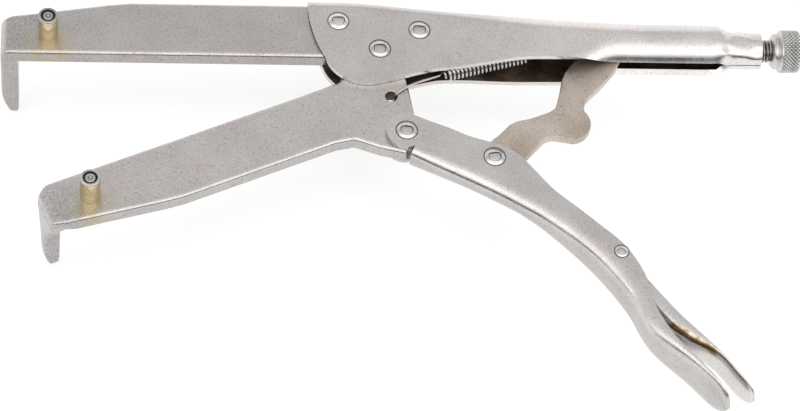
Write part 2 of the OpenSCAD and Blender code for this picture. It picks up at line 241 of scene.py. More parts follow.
def place(piece, body, slot, materials, *nodes):
    for material in materials:
        piece.data.materials.append(material)
    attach(piece, body)
    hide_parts(*nodes)


# ---- Materials ----


def set_inputs(node, values):
    for name, value in values.items():
        node.inputs[name].default_value = value
    return node


class Shader:
    """A principled material with short calls for its procedural nodes."""

    def __init__(self, name, **values):
        self.material = bpy.data.materials.new(name)
        self.material.use_nodes = True
        self.nodes = self.material.node_tree.nodes
        self.links = self.material.node_tree.links
        self.surface = set_inputs(self.nodes["Principled BSDF"], values)
        self.place = self.new("TexCoord").outputs["Object"]

    def new(self, kind, **values):
        return set_inputs(self.nodes.new("ShaderNode" + kind), values)

    def link(self, source, socket):
        self.links.new(source, socket)

    def feed(self, sockets, values):
        """Link the values that are outputs of nodes and set the others."""
        for socket, value in zip(sockets, values):
            if isinstance(value, bpy.types.NodeSocket):
                self.link(value, socket)
            else:
                socket.default_value = value

    def stretched(self, scale):
        node = self.new("Mapping", Scale=scale)
        self.link(self.place, node.inputs["Vector"])
        return node.outputs["Vector"]

    def noise(self, scale, detail=4.0, roughness=0.55, vector=None):
        node = self.new("TexNoise", Scale=scale, Detail=detail, Roughness=roughness)
        self.link(vector or self.place, node.inputs["Vector"])
        return node.outputs["Fac"]

    def ramp(self, value, low, high, to_low=0.0, to_high=1.0):
        values = {"From Min": low, "From Max": high, "To Min": to_low, "To Max": to_high}
        node = self.new("MapRange", **values)
        self.link(value, node.inputs["Value"])
        return node.outputs["Result"]

    def math(self, kind, a, b):
        node = self.new("Math")
        node.operation = kind
        self.feed(node.inputs, (a, b))
        return node.outputs["Value"]

    def vector(self, kind, a, b, output="Vector"):
        node = self.new("VectorMath")
        node.operation = kind
        self.feed(node.inputs, (a, b))
        return node.outputs[output]

    def part(self, vector, axis):
        node = self.new("SeparateXYZ")
        self.link(vector, node.inputs[0])
        return node.outputs[axis]

    def blend(self, factor, a, b, kind="MIX"):
        node = self.new("Mix")
        node.data_type = "RGBA"
        node.blend_type = kind
        colours = [(*c, 1.0) if isinstance(c, tuple) else c for c in (a, b)]
        self.feed((node.inputs[0], node.inputs[6], node.inputs[7]), (factor, *colours))
        return node.outputs[2]

    def coat(self, colour, polish, spots):
        """Set the colour, and a roughness that varies between two values."""
        self.link(colour, self.surface.inputs["Base Color"])
        roughness = self.ramp(self.noise(*spots), 0.3, 0.7, *polish)
        self.link(roughness, self.surface.inputs["Roughness"])

    def bump(self, height, strength, depth):
        node = self.new("Bump", Strength=strength, Distance=depth * MM)
        self.link(height, node.inputs["Height"])
        self.link(node.outputs["Normal"], self.surface.inputs["Normal"])

    def distance(self, point, across):
        """Distance from a point in metres, counting only some directions."""
        centre = [p * MM * a for p, a in zip(point, across)]
        return self.vector("DISTANCE", self.stretched(across), centre, "Value")

    def near(self, point, radius):
        """1 within a radius of a line along Z through a point, fading to 0."""
        return self.ramp(self.distance((*point, 0), (1, 1, 0)), radius * MM, radius * MM * 0.45)

    def facing_up(self, low, high):
        """0 on upright faces and 1 on level ones."""
        normal = self.new("NewGeometry").outputs["True Normal"]
        return self.ramp(self.math("ABSOLUTE", self.part(normal, "Z"), 0.0), low, high)


def plated_steel(name, light, dark, polish, pits=0.5, tint=None, sides=1.0):
    """Satin plate over steel: mottled colour, fine grain and a few pits.

    Upright faces are darkened by the factor sides, as painted shade.
    """
    s = Shader(name, Metallic=1.0)
    clouds = s.ramp(s.noise(55, 6, 0.6), 0.35, 0.65)
    colour = s.blend(clouds, dark, light)
    warm = s.ramp(s.noise(38, 3), 0.48, 0.66)
    colour = s.blend(s.math("MULTIPLY", warm, 0.35), colour, WARM_TINT)
    grain = s.ramp(s.noise(1300, 2, 0.6), 0.3, 0.7)
    colour = s.blend(0.5, colour, s.blend(grain, GRAIN_DARK, GRAIN_LIGHT), "OVERLAY")
    pit = s.ramp(s.noise(900, 1, 0.4), 0.3, 0.36, 1.0, 0.0)
    colour = s.blend(s.math("MULTIPLY", pit, pits), colour, PIT_COLOUR)
    if tint:
        colour = tint(s, colour)
    # Painted shade: upright faces are darkened by the factor sides.
    shade = s.blend(s.facing_up(0.15, 0.5), (sides, sides, sides), (1.0, 1.0, 1.0))
    s.coat(s.blend(1.0, colour, shade, "MULTIPLY"), polish, (160, 4))
    relief = s.math("ADD", s.noise(700, 3), s.math("MULTIPLY", pit, -0.8 * pits))
    s.bump(relief, 0.3, 0.05)
    return s.material


def pin_marks(foot, worn):
    """Yellow tint on the arm around the foot of a pin, and a worn patch beside it."""

    def tint(s, colour):
        pitted = s.math("MULTIPLY", s.near(worn, 16), s.ramp(s.noise(900, 3), 0.4, 0.6))
        colour = s.blend(s.math("MULTIPLY", pitted, 0.55), colour, WORN_COLOUR)
        stain = s.math("MULTIPLY", s.near(foot, 13), s.ramp(s.noise(240, 3), 0.35, 0.6))
        return s.blend(s.math("MULTIPLY", stain, 0.7), colour, ZINC_STAIN)

    return tint


def painted_sheen_rear(s, colour):
    """Painted sheen: lighter colour on the round rear half of the fixed handle."""
    share = s.ramp(s.part(s.place, "X"), SHEEN_START_X * MM, SHEEN_FULL_X * MM)
    return s.blend(share, colour, s.blend(1.0, colour, SHEEN_PAINT, "MULTIPLY"))


def heat_stain_and_crease_shade(start, end, width):
    """Brown and straw temper colours along a crease, the brown partly painted shade in the crease."""

    def tint(s, colour):
        direction = (Vector(end) - Vector(start)) * MM
        away = s.vector("SUBTRACT", s.place, Vector(start) * MM)
        along = s.vector("DOT_PRODUCT", away, direction / direction.length**2, "Value")
        share = s.math("MINIMUM", s.math("MAXIMUM", along, 0.0), 1.0)
        gap = s.vector("DISTANCE", away, s.vector("MULTIPLY", direction, share), "Value")
        full, half = width * MM, width * MM / 2
        ragged = s.math("ADD", gap, s.ramp(s.noise(260, 4), 0.3, 0.7, -half, half))
        straw = s.ramp(ragged, full, full * 0.6)
        # The brown core is partly a real stain and partly painted shade in the crease.
        brown = s.ramp(ragged, full * 0.7, full * 0.25)
        colour = s.blend(s.math("MULTIPLY", straw, 0.8), colour, STRAW_COLOUR)
        return s.blend(s.math("MULTIPLY", brown, 0.75), colour, BROWN_STAIN_AND_SHADE)

    return tint


def unplated_and_shaded_inside(name):
    """Brown unpolished inside of the bent sheet, made dark as painted shade inside it."""
    s = Shader(name, Metallic=0.85)
    colour = s.blend(s.ramp(s.noise(90, 4), 0.35, 0.65), (0.06, 0.042, 0.032), (0.2, 0.15, 0.11))
    s.coat(colour, (0.5, 0.7), (200, 3))
    s.bump(s.noise(500, 4), 0.3, 0.08)
    return s.material


ACROSS_SCREW = (500, 60, 60)


def turned_metal(name, light, dark, polish, scale=(40, 40, 900), grooves=None):
    """Turned metal with fine rings around its axis.

    Grooves are the depth and crest radius of a thread or knurl around the
    screw axis, which gets painted shade at its bottom.
    """
    s = Shader(name, Metallic=1.0)
    rings = s.noise(1, 3, vector=s.stretched(scale))
    colour = s.blend(s.ramp(rings, 0.35, 0.65), dark, light)
    if grooves:
        depth, crest = grooves
        radius = s.distance((0, SCREW_Y, Z_MID), (0, 1, 1))
        height = s.ramp(radius, (crest - depth) * MM, (crest - depth * 0.2) * MM)
        # Painted shade towards the bottom of the grooves.
        colour = s.blend(height, GROOVE_SHADE, colour)
    s.coat(colour, polish, (300, 3))
    s.bump(rings, 0.15, 0.03)
    return s.material


NICKEL_LIGHT = (0.66, 0.635, 0.62)
NICKEL_DARK = (0.58, 0.56, 0.55)
NICKEL_WORN = (0.5, 0.485, 0.475)
SHEET_LIGHT = (0.68, 0.66, 0.645)
SHEET_DARK = (0.6, 0.58, 0.565)
POLISHED = (0.7, 0.69, 0.67)
WARM_TINT = (0.64, 0.56, 0.53)
GRAIN_LIGHT = (0.69, 0.67, 0.66)
GRAIN_DARK = (0.33, 0.32, 0.31)
PIT_COLOUR = (0.22, 0.2, 0.19)
WORN_COLOUR = (0.27, 0.27, 0.28)
GROOVE_SHADE = (0.07, 0.065, 0.06)
ZINC_STAIN = (0.56, 0.47, 0.3)
STRAW_COLOUR = (0.55, 0.42, 0.24)
BROWN_STAIN_AND_SHADE = (0.26, 0.15, 0.08)
# Painted sheen: factor that lightens the rear of the fixed handle.
SHEEN_PAINT = (1.14, 1.15, 1.16)
ARM_POLISH = (0.24, 0.32)
SHEET_POLISH = (0.2, 0.3)
KNOB_POLISH = (0.26, 0.38)
# Painted shade: factors that darken the upright faces of the arms and the bent sheet.
ARM_SIDE_SHADE = 0.76
SHEET_SIDE_SHADE = 0.77

upper_arm_metal = plated_steel(
    "nickel_upper_arm", NICKEL_DARK, NICKEL_WORN, ARM_POLISH, 0.4, pin_marks((0, -6), (-9, 2)), ARM_SIDE_SHADE
)
lower_arm_metal = plated_steel(
    "nickel_lower_arm", NICKEL_LIGHT, NICKEL_DARK, ARM_POLISH, 0.4,
    pin_marks((LOWER_PIN.x + 1, LOWER_PIN.y - 5), (LOWER_PIN.x - 9, LOWER_PIN.y - 5)), ARM_SIDE_SHADE,
)
# The fixed handle has a painted sheen on its round rear half.
handle_metal = plated_steel(
    "nickel_handle", SHEET_LIGHT, SHEET_DARK, SHEET_POLISH, 0.25, painted_sheen_rear
)
sheet_metal = plated_steel(
    "nickel_sheet", SHEET_LIGHT, SHEET_DARK, SHEET_POLISH, 0.25, sides=SHEET_SIDE_SHADE
)
# Temper stain on the release lever, its brown partly painted shade in the crease.
release_metal = plated_steel(
    "nickel_release", SHEET_LIGHT, SHEET_LIGHT, SHEET_POLISH, 0.2,
    heat_stain_and_crease_shade((246.5, -138.8, 2), (261.5, -150, 2), 2.0),
)
inside_shaded_metal = unplated_and_shaded_inside("unplated_and_shaded_inside")
link_metal = plated_steel("warm_link", (0.66, 0.585, 0.52), (0.5, 0.43, 0.37), (0.42, 0.56), 0.4)
rivet_metal = turned_metal("polished_rivet", POLISHED, (0.58, 0.57, 0.55), (0.14, 0.2))
sleeve_metal = turned_metal("yellow_zinc", (0.72, 0.62, 0.42), (0.52, 0.43, 0.26), (0.14, 0.22))
stud_metal = turned_metal("turned_steel", (0.6, 0.59, 0.57), (0.36, 0.35, 0.34), (0.2, 0.34))
spring_metal = turned_metal("spring_wire", (0.68, 0.66, 0.64), (0.45, 0.43, 0.42), (0.22, 0.34))
knob_metal = turned_metal(
    "knurled_nickel", POLISHED, (0.52, 0.51, 0.5), KNOB_POLISH, ACROSS_SCREW
)
knurl_metal = turned_metal(
    "knurl", (0.76, 0.75, 0.73), (0.56, 0.55, 0.54), KNOB_POLISH, ACROSS_SCREW,
    (KNURL_DEPTH, KNOB_R),
)
thread_metal = turned_metal(
    "thread_steel", (0.62, 0.6, 0.56), (0.38, 0.35, 0.31), (0.25, 0.4), ACROSS_SCREW,
    (THREAD_DEPTH, THREAD_R),
)
# Painted shade: dark colour for the walls of the rivet dents.
dent_shade_metal = turned_metal("dent_wall_shade", (0.2, 0.19, 0.18), (0.09, 0.085, 0.08), (0.3, 0.4))
# Painted shade: dark colour for the ring around the rivet heads, the bore of the pins and the grooves of
# the studs.
gap_shade_metal = turned_metal("painted_gap_shade", (0.22, 0.21, 0.2), (0.1, 0.095, 0.09), (0.4, 0.5))


# ---- Plates with rounded edges ----


def signed_area(points):
    pairs = zip(points, points[1:] + points[:1])
    return sum(a[0] * b[1] - b[0] * a[1] for a, b in pairs) / 2


def turned(points, left):
    """The loop running anticlockwise if left is true, and clockwise if not."""
    return points if (signed_area(points) > 0) == left else points[::-1]


def face_loops(node, height):
    """Outlines of a CAD node's flat faces at a height, the outer one first.

    The outer loop runs anticlockwise and the holes run clockwise.
    """
    bm = bmesh.new()
    bm.from_mesh(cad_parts[node].data)
    bmesh.ops.remove_doubles(bm, verts=bm.verts, dist=1e-6)
    flat = {f for f in bm.faces if all(abs(v.co.z / MM - height) < 0.01 for v in f.verts)}
    follow = {}
    for face in flat:
        for loop in face.loops:
            if sum(f in flat for f in loop.edge.link_faces) == 1:
                follow[loop.vert] = loop.link_loop_next.vert
    loops = []
    while follow:
        points = []
        here = next(iter(follow))
        while here in follow:
            points.append((here.co.x / MM, here.co.y / MM))
            here = follow.pop(here)
        loops.append(points)
    bm.free()
    loops.sort(key=lambda p: -abs(signed_area(p)))
    return [without_straight_points(turned(p, i == 0)) for i, p in enumerate(loops)]


def without_straight_points(points, least=0.004):
    """The loop without points that lie on the line between their neighbours."""
    kept = []
    for i, p in enumerate(points):
        a = kept[-1] if kept else points[i - 1]
        b = points[(i + 1) % len(points)]
        area = abs((p[0] - a[0]) * (b[1] - a[1]) - (b[0] - a[0]) * (p[1] - a[1]))
        if area > least * hypot(b[0] - a[0], b[1] - a[1]):
            kept.append(p)
    return kept


def round_corners(points, radius, least_turn=25):
    """The loop with its sharp corners rounded to a radius."""
    result = []
    count = len(points)
    for i, p in enumerate(points):
        here = Vector(p)
        into = here - Vector(points[i - 1])
        out = Vector(points[(i + 1) % count]) - here
        turn = abs(atan2(into.x * out.y - into.y * out.x, into.dot(out)))
        if turn < radians(least_turn):
            result.append(tuple(p))
            continue
        reach = min(radius * sin(turn / 2) / cos(turn / 2), into.length * 0.45, out.length * 0.45)
        start = here - into.normalized() * reach
        end = here + out.normalized() * reach
        steps = 5
        for k in range(steps + 1):
            t = k / steps
            point = start * (1 - t) ** 2 + here * 2 * t * (1 - t) + end * t**2
            result.append(tuple(point))
    return result


def left_of(a, b):
    """Unit vector to the left of the way from a to b."""
    length = hypot(b[0] - a[0], b[1] - a[1]) or 1
    return Vector(((a[1] - b[1]) / length, (b[0] - a[0]) / length))


def inset(points, depths):
    """The loop moved to its left by a depth at each point."""
    result = []
    for i, p in enumerate(points):
        na = left_of(points[i - 1], p)
        nb = left_of(p, points[(i + 1) % len(points)])
        shift = (na + nb) / max(1 + na.dot(nb), 0.3)
        result.append((p[0] + shift.x * depths[i], p[1] + shift.y * depths[i]))
    return result


EDGE_STEPS = 5


def edge_ring(points, radii, level, inward, k):
    """Ring k of a rounded edge, from the side (0) to the face at a level."""
    angle = pi / 2 * k / EDGE_STEPS
    at = inset(points, [r * (1 - cos(angle)) for r in radii])
    return [(x, y, level + inward * r * (1 - sin(angle))) for (x, y), r in zip(at, radii)]


def plate_mesh(loops, back, front, back_radii, front_radii):
    """Plate between two heights, with its edges rounded by a radius per point."""
    bm = bmesh.new()
    backs, fronts = [], []
    for points, r_back, r_front in zip(loops, back_radii, front_radii):
        rings = [edge_ring(points, r_back, back, 1, k) for k in range(EDGE_STEPS, -1, -1)]
        rings += [edge_ring(points, r_front, front, -1, k) for k in range(EDGE_STEPS + 1)]
        made = [[bm.verts.new(p) for p in ring] for ring in rings]
        count = len(points)
        for low, high in zip(made, made[1:]):
            for i in range(count):
                j = (i + 1) % count
                bm.faces.new((low[i], low[j], high[j], high[i]))
        backs.append(made[0])
        fronts.append(made[-1])
    for rings in (backs, fronts):
        flat = [v for ring in rings for v in ring]
        triangles = geometry.tessellate_polygon([[v.co for v in ring] for ring in rings])
        for t in triangles:
            corners = [flat[i] for i in t]
            if len(set(t)) == 3 and not bm.faces.get(corners):
                bm.faces.new(corners)
    bmesh.ops.recalc_face_normals(bm, faces=bm.faces)
    return bm


def cut_across(bm, x_values):
    """Split every face at some places along X, so that the mesh can bend there."""
    for x in x_values:
        whole = bm.verts[:] + bm.edges[:] + bm.faces[:]
        bmesh.ops.bisect_plane(bm, geom=whole, dist=1e-5, plane_co=(x, 0, 0), plane_no=(1, 0, 0))


# ---- Arms ----

PIN_TO_HOOK = 19.5
HOOK_DEPTH = -box_mm("upper_jaw")[0].z
BEND_R = 5.0
INNER_BEND_R = 1.5
BEND_START = -10.0
BEND_LENGTH = 16.0
HOOK_START_Z = -9.5
HOOK_LENGTH = HOOK_DEPTH + HOOK_START_Z
HOOK_START = BEND_START - BEND_LENGTH
BEVEL_LENGTH = 14.0
UPPER_TIP_BEVEL = 4.0
LOWER_TIP_BEVEL = 2.4
FRONT_EDGE_R = 1.9
BACK_EDGE_R = 1.1
HOLE_EDGE_R = 0.4
ARM_CORNER_R = 3.5
OUTLINE_STEP = 4
BEND_CUTS = 32
HOOK_CUTS = 24


# Flat outlines of the two hooks as (x, y) in the frame of their arm, from the
# outer edge of the bend round the tip to the inner edge of the bar.
UPPER_HOOK = [
    (-10, 10.5), (-16, 9.5), (-26, 8.5), (-51.5, 0.4), (-56, -1.2), (-58.7, -2.9),
    (-60.2, -5.2), (-60.5, -6.9), (-59.8, -8.7), (-57.9, -9.5), (-10, -9.5),
]
LOWER_HOOK = [
    (-10, 9), (-20, 7.2), (-25, 6), (-27, 4.9), (-29.5, 3), (-33.5, 1.1), (-36.5, 0.4),
    (-44.5, 0), (-54.5, -0.5), (-59, -0.9), (-60.4, -1.6), (-60.5, -2.8), (-59.6, -4.3),
    (-57.5, -4.9), (-47.5, -5.5), (-36.5, -6.4), (-27, -7.6), (-22.8, -8.7),
    (-19.6, -9.7), (-16.4, -11), (-13.2, -11.9), (-10, -12),
]


def along_bend(share, radius, corner_x, corner_z):
    """Point on one face of the bend, from the bar (0) to the hook (1)."""
    straight = 0.2
    start = Vector((corner_x + radius, corner_z))
    end = Vector((corner_x, corner_z - radius))
    if share < straight:
        return Vector((BEND_START, corner_z)).lerp(start, share / straight)
    if share > 1 - straight:
        return end.lerp(Vector((corner_x, HOOK_START_Z)), (share - 1 + straight) / straight)
    angle = pi / 2 * (share - straight) / (1 - 2 * straight)
    return Vector((start.x - radius * sin(angle), end.y + radius * cos(angle)))


def bent(x, z, thickness, tip_bevel):
    """Where a point of the flat arm goes when its hook is bent down."""
    if x >= BEND_START:
        return x, z
    depth = -z / thickness
    if x > HOOK_START:
        share = (BEND_START - x) / BEND_LENGTH
        outside = along_bend(share, BEND_R, -PIN_TO_HOOK, 0)
        inside = along_bend(share, INNER_BEND_R, thickness - PIN_TO_HOOK, -thickness)
        point = outside.lerp(inside, depth)
        return point.x, point.y
    drop = HOOK_START - x
    bevel = clamp((drop - HOOK_LENGTH + BEVEL_LENGTH) / BEVEL_LENGTH)
    outside = -PIN_TO_HOOK + tip_bevel * bevel**2
    inside = thickness - PIN_TO_HOOK - 0.7 * bevel**6
    return mix(outside, inside, depth), HOOK_START_Z - drop


def arm_piece(name, node, front_z, hook, tip_bevel, thickness, to_local, to_frame, holes):
    """Arm from the outline of its CAD bar and a flat hook, which is then bent down."""
    loops = [[to_local(p) for p in loop] for loop in face_loops(node, front_z)]
    outline = turned(loops[0], True)
    bar = [p for p in outline if p[0] > BEND_START]
    start = min(range(len(bar)), key=lambda i: bar[i][0] + (bar[i][1] > 0) * 1000)
    bar = bar[start:] + bar[:start]
    outline = round_corners(bar + hook, ARM_CORNER_R)
    outline = resample(outline + outline[:1], OUTLINE_STEP)[:-1]
    kept = [turned(p, False) for p in loops[1:] if any(lies_around(p, h) for h in holes)]
    hole_radii = [[HOLE_EDGE_R] * len(loop) for loop in kept]
    back_radii = [[BACK_EDGE_R] * len(outline)] + hole_radii
    front_radii = [[FRONT_EDGE_R] * len(outline)] + hole_radii
    bm = plate_mesh([outline] + kept, -thickness, 0, back_radii, front_radii)
    bend_cuts = [BEND_START - BEND_LENGTH * k / BEND_CUTS for k in range(BEND_CUTS + 1)]
    hook_cuts = [HOOK_START - HOOK_LENGTH * k / HOOK_CUTS for k in range(1, HOOK_CUTS)]
    cut_across(bm, [BEND_START + 0.3] + bend_cuts + hook_cuts)
    for v in bm.verts:
        x, z = bent(v.co.x, v.co.z, thickness, tip_bevel)
        fx, fy = to_frame((x, v.co.y))
        v.co = (fx, fy, z + front_z)
    bmesh.ops.recalc_face_normals(bm, faces=bm.faces)
    piece = new_object(name, bm)
    even_normals(piece)
    return piece


def lies_around(loop, point):
    """Whether the middle of a small loop is within a millimetre of a point."""
    x = sum(p[0] for p in loop) / len(loop)
    y = sum(p[1] for p in loop) / len(loop)
    return hypot(x - point[0], y - point[1]) < 1


def mirrored(x, y):
    """A direction in the frame of the pliers, seen in that of the lower arm, or back."""
    return x * cos(OPEN_ANGLE) + y * sin(OPEN_ANGLE), x * sin(OPEN_ANGLE) - y * cos(OPEN_ANGLE)


def to_lower(p):
    return mirrored(p[0] - LOWER_PIN.x, p[1] - LOWER_PIN.y)


def from_lower(p):
    x, y = mirrored(*p)
    return LOWER_PIN.x + x, LOWER_PIN.y + y


SPRING_HOLE = (140.1, -28.8)
SPRING_HOLE_R = 2.6


def make_arms():
    upper = arm_piece(
        "upper_arm", "upper_jaw", 0.0, UPPER_HOOK, UPPER_TIP_BEVEL, ARM_T,
        lambda p: p, lambda p: p, [],
    )
    place(upper, HANDLE, "nickel_arm", [upper_arm_metal], "upper_jaw")
    lower = arm_piece(
        "lower_arm", "lower_jaw", LOWER_FRONT_Z, LOWER_HOOK, LOWER_TIP_BEVEL,
        ARM_T - 2 * SIDE_GAP, to_lower, from_lower, [to_lower(SPRING_HOLE)],
    )
    # The wall of the spring hole gets the dark inside material, painted shade in the hole.
    wall_top = LOWER_FRONT_Z - HOLE_EDGE_R
    paint(lower, SPRING_HOLE, 1, lambda at: at.xy.length < SPRING_HOLE_R and at.z < wall_top)
    place(lower, JAW, "nickel_arm", [lower_arm_metal, inside_shaded_metal], "lower_jaw")


# ---- Toggle link ----


LINK_CORNER_R = 2.5
LINK_EDGE_R = 0.5


def make_link():
    low, high = box_mm("toggle_link")
    outline = round_corners(face_loops("toggle_link", high.z)[0], LINK_CORNER_R, least_turn=20)
    radii = [[LINK_EDGE_R] * len(outline)]
    bm = plate_mesh([outline], low.z, high.z, radii, radii)
    piece = new_object("toggle_plate", bm)
    even_normals(piece)
    place(piece, LINK, "link_steel", [link_metal], "toggle_link")


# ---- Bent sheet ----


RIM_W = 0.5


def sheet_piece(name, rows, thickness, outward):
    """Bent sheet from rows of points on its outside.

    A row is a list of points, with None where the sheet has an opening.
    """
    bm = bmesh.new()
    made = [[p and bm.verts.new(p) for p in row] for row in rows]
    for a, b in zip(made, made[1:]):
        for i in range(len(a) - 1):
            corners = (a[i], a[i + 1], b[i + 1], b[i])
            if None not in corners:
                bm.faces.new(corners)
    bmesh.ops.remove_doubles(bm, verts=bm.verts, dist=1e-3)
    bmesh.ops.dissolve_degenerate(bm, edges=bm.edges, dist=1e-3)
    bmesh.ops.recalc_face_normals(bm, faces=bm.faces)
    bm.faces.ensure_lookup_table()
    lead = max(bm.faces, key=lambda f: f.calc_area())
    if lead.normal.dot(outward(lead.calc_center_median())) < 0:
        bmesh.ops.reverse_faces(bm, faces=bm.faces)
    piece = new_object(name, bm)
    solid = piece.modifiers.new("sheet", "SOLIDIFY")
    solid.thickness = thickness * MM
    solid.offset = -1
    solid.use_even_offset = True
    solid.material_offset = 1
    rim = piece.modifiers.new("rim", "BEVEL")
    rim.width = RIM_W * MM
    rim.segments = 3
    rim.limit_method = "ANGLE"
    rim.angle_limit = radians(50)
    even_normals(piece)
    return piece


# ---- Fixed handle ----

FRONT_X = box_mm("fixed_handle")[0].x
HANDLE_END_X = box_mm("fixed_handle")[1].x
CHEEK_END_X = 160
CURL_X = 210
CURL_LENGTH = 26
TUBE_X = 246
SHOULDER_X = 278
NECK_X = 285
TUBE_R = 10.5
NECK_R = 7.7
CRIMP_X = 274
CRIMP = 0.55
CHEEK_W = ARM_T / 2 + SHEET_T
WIDENING = 40
TOP_FLAT = 0.5
# Angles of the bent lip and of half the slot under the tube and the neck.
LIP_CURL = 4
TUBE_SLOT = 23
NECK_SLOT = 2.5
LIP_STEPS = 10
SIDE_STEPS = 4
TOP_STEPS = 12
TOP_KNOTS = [
    (107, 19.3), (127, 19.1), (145, 17.4), (160, 15.9), (180, 13.7), (200, 11.6), (222, 10.2),
    (246, 9.5),
]
LIP_KNOTS = [(160, -16.1), (178, -14.4), (196, -12.9), (210, -12.6), (222, -12.6), (234, -12.4)]


def tube_part(x):
    """How far the channel has turned into the tube, from 0 to 1."""
    return ease((x - CURL_X) / CURL_LENGTH)


def neck_part(x):
    """How far the tube has narrowed to the neck, from 0 to 1."""
    return ease((x - SHOULDER_X) / (NECK_X - SHOULDER_X))


def handle_section(x, lip):
    """Outside of the handle at x, from the near lip over the top to the far lip."""
    turned = tube_part(x)
    radius = mix(TUBE_R, NECK_R, neck_part(x))
    width = mix(CHEEK_W, radius, ease((x - CHEEK_END_X) / WIDENING))
    top = value_at(x, TOP_KNOTS) if x < TUBE_X else SCREW_Y + radius
    corner = mix(width - TOP_FLAT, radius, turned)
    curl = mix(LIP_CURL, 90 - mix(TUBE_SLOT, NECK_SLOT, neck_part(x)), turned)
    curl_y = mix(lip + width * sin(radians(LIP_CURL)), SCREW_Y, turned)
    half = []
    for k in range(LIP_STEPS + 1):
        a = radians(curl * (1 - k / LIP_STEPS))
        half.append((curl_y - width * sin(a), width * cos(a)))
    side_foot, side_top = half[-1][0], top - corner
    for k in range(1, SIDE_STEPS + 1):
        half.append((mix(side_foot, side_top, k / SIDE_STEPS), width))
    for k in range(1, TOP_STEPS + 1):
        b = pi / 2 * k / TOP_STEPS
        half.append((top - corner * (1 - sin(b)), width - corner * (1 - cos(b))))
    return half


def crimp(x, y, z):
    """Uneven surface left on the neck by pressing it onto its thread."""
    strength = CRIMP * ease((x - CRIMP_X) / 8)
    if strength == 0:
        return y, z
    rough = noise.noise(Vector((x * 0.16, y * 0.3, z * 0.3)))
    scale = 1 - strength * (0.35 + rough) * 0.12
    return SCREW_Y + (y - SCREW_Y) * scale, Z_MID + (z - Z_MID) * scale


def handle_stations():
    """Places along the handle as pairs of x and the height of its lip."""
    front_curve = smooth_rows(
        [(FRONT_X, 13), (107.3, 8), (108.5, 2), (110.3, -4.2)]
        + arc((130.5, -5.5), 18.2, 195, 285, 12)
        + [(143, -21), (152, -18.1), (CHEEK_END_X, -16.1)],
        3,
    )
    stations = resample(front_curve, 1.2)
    x = CHEEK_END_X + 2
    while x < HANDLE_END_X:
        stations.append((x, value_at(x, LIP_KNOTS)))
        x += 2 if x < 270 else 1
    return stations + [(HANDLE_END_X, -12.4)]


def make_handle():
    rows = []
    for x, lip in handle_stations():
        half = handle_section(x, lip)
        both = [(y, Z_MID + s) for y, s in half] + [(y, Z_MID - s) for y, s in half[::-1]]
        rows.append([(x, *crimp(x, y, z)) for y, z in both])
    outward = lambda centre: Vector((0, centre.y - SCREW_Y, centre.z - Z_MID))
    piece = sheet_piece("handle_shell", rows, SHEET_T, outward)
    # The inner faces of the sheet get the dark inside material, its brown partly painted shade.
    place(piece, HANDLE, "nickel_sheet", [handle_metal, inside_shaded_metal], "fixed_handle")


# ---- Lever handle and release lever ----

SHANK_W = 5.7
GRIP_W = 10

# Edges are (back x, back y, edge x, edge y), and rows have the outer half width
# after them. The back is the outside of the web and the edge the top of the flanges.
FRONT_EDGES = [
    (146.6, -58.1, 154.8, -42.4), (149.8, -59.8, 158, -43.7), (155, -62.6, 163.4, -46),
    (162, -66.3, 171, -49.7), (171, -71, 179.4, -52.5), (179, -75.5, 185.4, -54.9),
    (186, -79.7, 191, -58.8),
]
WIDENING_ROWS = [
    (190.5, -82.7, 196.3, -65.8, 5.9), (197.5, -88, 203.6, -76, 6.8),
    (205, -94.8, 213, -85.8, 8), (212.5, -102.2, 220.5, -94, 9.1), (220, -111, 228.5, -102.6, 9.8),
]
GRIP_EDGES = [
    (227, -121.3, 234, -111.7), (231.3, -129, 237.4, -121), (234.5, -137.3, 239.4, -132),
    (238, -144, 243.4, -141.1), (243.8, -150.3, 247.6, -148), (250.5, -156.8, 253.4, -155),
    (257, -164, 259.2, -162.6), (264.6, -173.4, 266.4, -172),
]
LEVER_ROWS = (
    [(*edges, SHANK_W) for edges in FRONT_EDGES]
    + WIDENING_ROWS
    + [(*edges, GRIP_W) for edges in GRIP_EDGES]
)
RELEASE_W = 7.4
RELEASE_EDGES = [
    (214.9, -99.4, 219, -95.2), (222.4, -108.2, 228, -103.4), (229.8, -119.1, 233.8, -112.8),
    (234.8, -126.4, 238.4, -119.2), (239.9, -132.5, 243.5, -126.5), (245.9, -139.3, 249.5, -134.5),
    (253.3, -145.4, 256.2, -142.2), (260, -149.7, 261.6, -148.4), (264.4, -154, 265.3, -153.2),
    (269.2, -161.2, 270.1, -160.5), (275.6, -169.5, 276.5, -168.8),
]
RELEASE_ROWS = [(*edges, RELEASE_W) for edges in RELEASE_EDGES]
EAR_R = 8.3
# Radius of the fold between web and flange, which grows towards the grip.
LEVER_CORNERS = [(147, 4), (152, 4.6), (165, 5.5), (182, 5.7), (212, 7), (240, 7.5), (262, 8.6)]
RELEASE_CORNER = 4.2
RELEASE_T = 1.2
FLAT_STEPS = 4
FOLD_STEPS = 8


